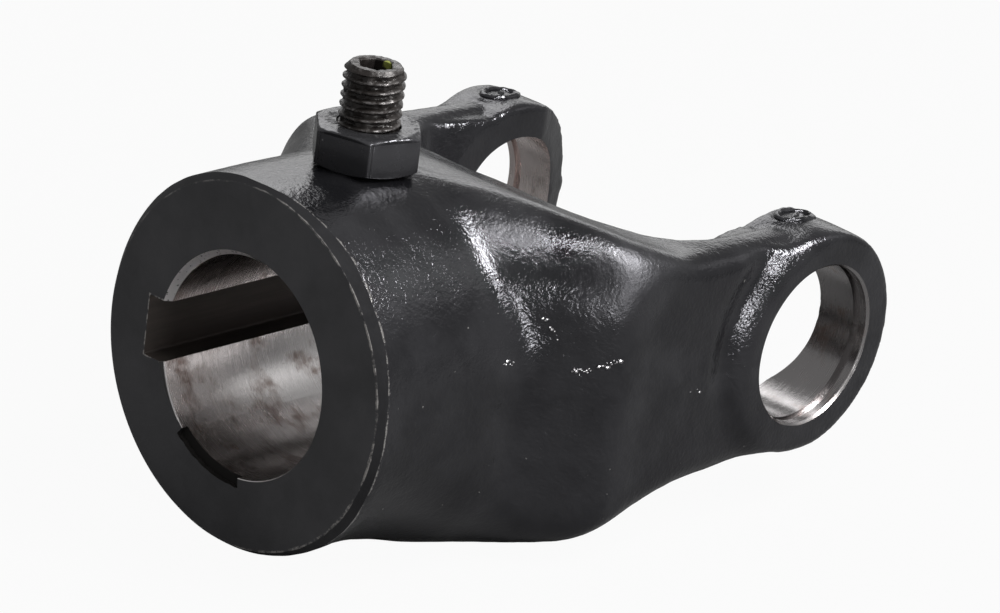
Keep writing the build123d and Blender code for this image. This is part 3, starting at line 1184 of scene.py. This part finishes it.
def boredSteel(name, colour, axis):
    # bare steel with the boring tool's rings round the axis, and brown stain; painted shade deep on the upper
    # side of the shaft bore, and painted light in a lighter or darker steel for each bore
    finish, tree, shader = newFinish(name)
    place = objectPlace(tree)
    x, y, z = splitPlace(place)
    rings = addNoise(place, *steel["rings"], stretch=steel["ringStretch"][axis])
    stains = addNoise(place, *steel["stains"])
    clean = addRange(stains, *steel["stainRange"][axis])
    colour = addMix(clean, steel["brown"], colour)
    blend = plus(times(rings, 0.5), times(stains, 0.5))
    rough = addRange(blend, *steel["gleamRange"][axis])
    if axis == "Y":
        painted, onMouth = mouthPaint(place)
        # painted shade: the upper side of the shaft bore is darkened deep inside
        upper = along([share / yoke["boreRadius"] for share in steel["shadeWay"]], x, z)
        upper = addMath("MULTIPLY_ADD", stains, steel["shadeWander"], upper)
        upper = times(addRange(upper, *steel["shadeRange"]), addRange(y, *steel["shadeDepth"]))
        colour = addMix(upper, colour, steel["paintedShade"])
        colour = addMix(onMouth, colour, steel["mouth"])
        colour = addMix(painted, colour, paint["colour"])
        metal = addRange(painted, 0.0, 1.0, 1.0, 0.0, smooth=False)
        rough = larger(rough, times(onMouth, steel["mouthRough"]))
    else:
        # painted light: the far ear's bore, where unstained, is set much lighter than the near ear's
        far = addRange(x, *steel["farAcross"])
        colour = addMix(times(far, clean), colour, steel["farCrossBoreLit"])
        metal = 1.0
    normal = addBump(rings, steel["ringHeight"])
    normal = grainy(place, steel, "pits", normal)
    dress(shader, colour=colour, metal=metal, rough=rough, normal=normal)
    return finish


keyway = {                      # dull and brown
    "dark": (0.035, 0.030, 0.027),
    "light": (0.085, 0.070, 0.062),
    "metal": 0.4,
    "rough": 0.55,
    "streaks": (1.2 * mm, 4.0, 0.6, 0.0),
    "streakStretch": (1, 14, 1),
    "streakHeight": 0.05 * mm,
}


def keySteel():
    finish, tree, shader = newFinish("keywaySteel")
    streaks = addNoise(objectPlace(tree), *keyway["streaks"], stretch=keyway["streakStretch"])
    colour = addMix(streaks, keyway["dark"], keyway["light"])
    normal = addBump(streaks, keyway["streakHeight"])
    dress(shader, colour=colour, metal=keyway["metal"], rough=keyway["rough"], normal=normal)
    return finish


def plainFinish(name, **values):
    finish, _, shader = newFinish(name)
    dress(shader, **values)
    return finish


# Finishes of the nut and the screw

nutFinish = {
    "colour": (0.020, 0.020, 0.0215),
    "speck": (0.12, 0.12, 0.12),
    "specks": (0.8 * mm, 1.0, 0.5, 21.0),
    "specksRange": (0.80, 0.84),
    "wave": (2.5 * mm, 2.0, 0.5),
    "waveHeight": 1.0 * mm,
    "waveRange": (35.6 * mm, 36.2 * mm, 0.06, 0.5),     # by height: runny paint on top, little on the flats
    "gleam": (3 * mm, 3.0, 0.6, 1.0),
    "gleamRange": (0.3, 0.7, 0.18, 0.30),
}


def nutPaint():
    finish, tree, shader = newFinish("nutBlackPaint", painted=True)
    place = objectPlace(tree)
    wave = addNoise(place, *nutFinish["wave"])
    onTop = addRange(splitPlace(place)[2], *nutFinish["waveRange"])
    normal = addBump(times(wave, onTop), nutFinish["waveHeight"])
    specks = spread(place, nutFinish, "specks")
    colour = addMix(specks, nutFinish["colour"], nutFinish["speck"])
    rough = spread(place, nutFinish, "gleam")
    dress(shader, colour=colour, rough=rough, normal=normal)
    return finish


oxide = {                       # dark oxide, worn to bright metal on the thread's crests and round the socket
    "dark": (0.010, 0.009, 0.009),
    "light": (0.034, 0.028, 0.025),
    "bright": (0.21, 0.20, 0.197),
    "crestRange": (4.55 * mm, 4.88 * mm),
    "topRange": (0.5 * mm, 0.1 * mm),   # below the top
    "topShare": 0.6,
    "rub": (1.3 * mm, 5.0, 0.7, 2.0),
    "rubRange": (0.46, 0.66),
    "grime": (1.6 * mm, 4.0, 0.6, 7.0),
    "gleamRange": (0.3, 0.7, 0.24, 0.46),
    "metalRange": (0.0, 1.0, 0.35, 1.0),
    "pits": (0.35 * mm, 3.0, 0.6),
    "pitsHeight": 0.03 * mm,
    "spot": (0.1 * mm, 24.85 * mm, 45.3 * mm),  # painted glint: a small yellow-green highlight on the socket's wall
    "glintColour": (0.21, 0.23, 0.05),
    "glintReach": 0.85 * mm,
    "glintFull": 0.6,
    "glintRagged": 1.6 * mm,
}


def screwOxide():
    finish, tree, shader = newFinish("screwDarkOxide")
    place = objectPlace(tree)
    x, y, z = splitPlace(place)
    radius = fromAxis(x, minus(y, yoke["screwPlace"]))
    crest = addRange(radius, *oxide["crestRange"])
    topFace = addRange(z, *[screw["top"] - depth for depth in oxide["topRange"]])
    rub = addNoise(place, *oxide["rub"])
    rubbed = larger(crest, times(topFace, oxide["topShare"]))
    bare = times(rubbed, addRange(rub, *oxide["rubRange"]))
    grime = addNoise(place, *oxide["grime"])
    colour = addMix(bare, addMix(grime, oxide["dark"], oxide["light"]), oxide["bright"])
    # painted glint: a yellow-green spot mixed into the socket's colour, with no metal
    ragged = fromPoint(place, oxide["spot"])
    ragged = addMath("MULTIPLY_ADD", minus(rub, 0.5), oxide["glintRagged"], ragged)
    spot = addRange(ragged, oxide["glintReach"], oxide["glintReach"] * oxide["glintFull"])
    colour = addMix(spot, colour, oxide["glintColour"])
    metal = times(addRange(bare, *oxide["metalRange"], smooth=False), minus(1.0, spot))
    rough = addRange(grime, *oxide["gleamRange"])
    normal = grainy(place, oxide, "pits")
    dress(shader, colour=colour, metal=metal, rough=rough, normal=normal)
    return finish


yokePiece, flashFaces = makeYoke()
print("stage: yoke forged and machined,", len(yokePiece.data.polygons), "faces")
sortYokeFaces(yokePiece, flashFaces, {
    "forged": forgedPaint(),
    "faced": facedPaint("blackPaintFaced", faced["dark"], faced["light"], faced["level"]),
    "rim": facedPaint("blackPaintRim", faced["rimDark"], faced["rimLight"], faced["rimLevel"]),
    "bore": boredSteel("shaftBoreSteel", steel["shaftBore"], "Y"),
    "key": keySteel(),
    "dent": plainFinish("dentShade", colour=(0.006, 0.005, 0.0045), rough=0.7, level=0.25),   # painted shade: near-black dull face put in the knocked recess
    "bare": plainFinish("bareFlash", colour=(0.45, 0.44, 0.45), metal=1.0, rough=0.32),       # fresh metal
    "crossBore": boredSteel("crossBoreSteel", steel["crossBore"], "X"),
})
nutPiece = makeNut()
nutPiece.data.materials.append(nutPaint())
screwPiece = makeScrew()
screwPiece.data.materials.append(screwOxide())
print("stage: nut and screw made")


# Studio: pale floor, pale surroundings, soft boxes and the camera

studio = {
    "floorHeight": -28.95 * mm,
    "floorSize": 4.0,
    "floorColour": (0.14, 0.14, 0.14),
    "floorRough": 0.9,
    "floorLevel": 0.1,
    "floorGlow": 0.95,          # share of plain white that the camera sees in the floor
    "surroundings": 0.38,       # light that the surroundings give
    "reflected": 0.28,          # how bright they are in reflections
    "target": (0, 50 * mm, 0),
}

softBoxes = {
    # azimuth from the hub's face towards the near ear, elevation, distance, width, height, radiance
    "rightHigh": (129, 60, 0.75, 0.18, 0.15, 34),
    "rightMiddle": (114, 46, 0.75, 0.18, 0.15, 48),
    "rightLower": (103, 27, 0.75, 0.10, 0.10, 40),
    "rightLow": (81, 9, 0.75, 0.10, 0.12, 30),
    "frontHigh": (74, 67, 0.75, 0.20, 0.035, 60),
    "backLow": (-143, 10, 0.90, 0.78, 0.31, 0.85),
    "backHigh": (-125, 36, 0.90, 0.38, 0.44, 2.3),
    "backRight": (148, 33, 0.90, 0.34, 0.30, 0.5),
}

view = {
    "azimuth": 40.0319,
    "elevation": 20.8508,
    "roll": 7.7588,
    "distance": 691.1 * mm,
    "right": 39.75 * mm,        # how far the camera is moved across and up its own picture
    "up": 9.59 * mm,
    "lens": 162.94,
    "sensor": 36.0,
    "clip": (0.01, 20.0),
}


def wayTo(azimuth, elevation):
    azimuth, elevation = math.radians(azimuth), math.radians(elevation)
    return Vector((math.sin(azimuth) * math.cos(elevation), -math.cos(azimuth) * math.cos(elevation),
                   math.sin(elevation)))


def makeFloor():
    half = studio["floorSize"] / 2
    corners = [(-half, -half), (half, -half), (half, half), (-half, half)]
    floor = meshObject("floor", [(x, y, studio["floorHeight"]) for x, y in corners], [(0, 1, 2, 3)])
    finish, tree, shader = newFinish("paleFloor")
    dress(shader, colour=studio["floorColour"], rough=studio["floorRough"], level=studio["floorLevel"])
    glow = addNode(tree, "ShaderNodeEmission")
    glow.inputs["Strength"].default_value = 1.0
    mix = addNode(tree, "ShaderNodeMixShader")
    rays = addNode(tree, "ShaderNodeLightPath")
    share = times(rays.outputs["Is Camera Ray"], studio["floorGlow"])
    for socket, value in zip(mix.inputs, (share, shader.outputs[0], glow.outputs[0])):
        feed(socket, value)
    feed(tree.nodes["Material Output"].inputs["Surface"], mix.outputs[0])
    floor.data.materials.append(finish)


def makeSurroundings():
    world = bpy.data.worlds.new("whiteStudio")
    world.use_nodes = True
    tree = world.node_tree
    back = tree.nodes["Background"]
    back.inputs["Color"].default_value = (1, 1, 1, 1)
    rays = addNode(tree, "ShaderNodeLightPath")
    glossy = times(rays.outputs["Is Glossy Ray"], studio["reflected"] - studio["surroundings"])
    seen = times(rays.outputs["Is Camera Ray"], 1 - studio["surroundings"])
    strength = plus(plus(glossy, seen), studio["surroundings"])
    feed(back.inputs["Strength"], strength)
    bpy.context.scene.world = world


def makeSoftBoxes():
    for name, (azimuth, elevation, distance, width, height, radiance) in softBoxes.items():
        lamp = bpy.data.lights.new(name, "AREA")
        lamp.shape = "RECTANGLE"
        lamp.size, lamp.size_y = width, height
        lamp.energy = radiance * math.pi * width * height
        away = wayTo(azimuth, elevation)
        box = placeObject(name, lamp)
        box.location = Vector(studio["target"]) + away * distance
        box.rotation_euler = away.to_track_quat("Z", "Y").to_euler()


def makeCamera():
    away, roll = wayTo(view["azimuth"], view["elevation"]), math.radians(view["roll"])
    across = (-away).cross(Vector((0, 0, 1))).normalized()
    upright = across.cross(-away)
    right = across * math.cos(roll) + upright * math.sin(roll)
    up = upright * math.cos(roll) - across * math.sin(roll)
    lens = bpy.data.cameras.new("camera")
    lens.sensor_fit = "HORIZONTAL"
    lens.sensor_width = view["sensor"]
    lens.lens = view["lens"]
    lens.clip_start, lens.clip_end = view["clip"]
    camera = placeObject("camera", lens)
    turn = Matrix((right, up, away)).transposed().to_4x4()
    place = away * view["distance"] + right * view["right"] + up * view["up"]
    camera.matrix_world = Matrix.Translation(place) @ turn
    bpy.context.scene.camera = camera


makeFloor()
makeSurroundings()
makeSoftBoxes()
makeCamera()
bpy.context.scene.view_settings.view_transform = "Standard"
print("stage: studio set")
